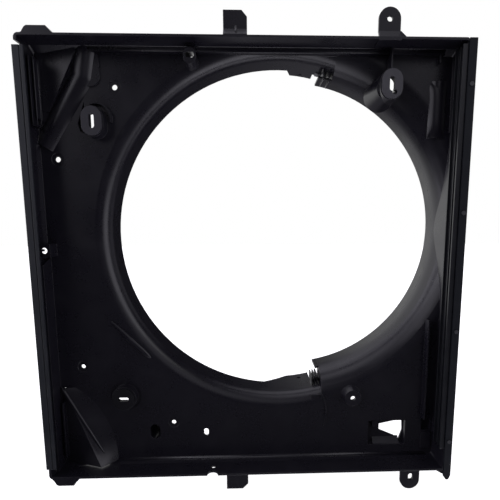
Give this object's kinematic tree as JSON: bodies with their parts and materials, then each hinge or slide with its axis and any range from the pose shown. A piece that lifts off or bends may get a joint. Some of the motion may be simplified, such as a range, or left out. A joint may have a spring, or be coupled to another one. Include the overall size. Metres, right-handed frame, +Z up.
{
  "type": "radiator fan shroud",
  "caption": "Moulded radiator fan shroud with an offset ring opening, a deep bell on one side, a separate guard band, seal flap, edge trim and slotted mounting bosses.",
  "frame": {"origin": "centre of the upper bolt hole, on the tab face towards the radiator", "axes": "+X to the right seen from the radiator, +Y back towards the engine, +Z up"},
  "size_m": [0.601, 0.1222, 0.68],
  "materials": {
    "black_plastic": "moulded, semi-gloss",
    "guard_plastic": "moulded, semi-gloss",
    "bush_plastic": "glass-filled, fine grain",
    "rail_plastic": "extruded, semi-gloss",
    "seal_rubber": "soft, satin",
    "trim_rubber": "extruded, satin",
    "bumper_rubber": "moulded, matt",
    "clip_steel": "zinc-plated spring steel",
    "pin_plastic": "moulded nylon"
  },
  "bodies": {
    "root": {"shroud_panel": "black_plastic", "ring_guard": "guard_plastic", "clip_nuts": "clip_steel", "seal_flap": "seal_rubber", "flap_pins": "pin_plastic", "edge_trim": "trim_rubber", "slide_rail": "rail_plastic", "bush_upper_left": "bush_plastic", "bush_upper_right": "bush_plastic", "bush_lower_left": "bush_plastic", "foot_bumpers": "bumper_rubber"}
  },
  "joints": []
}
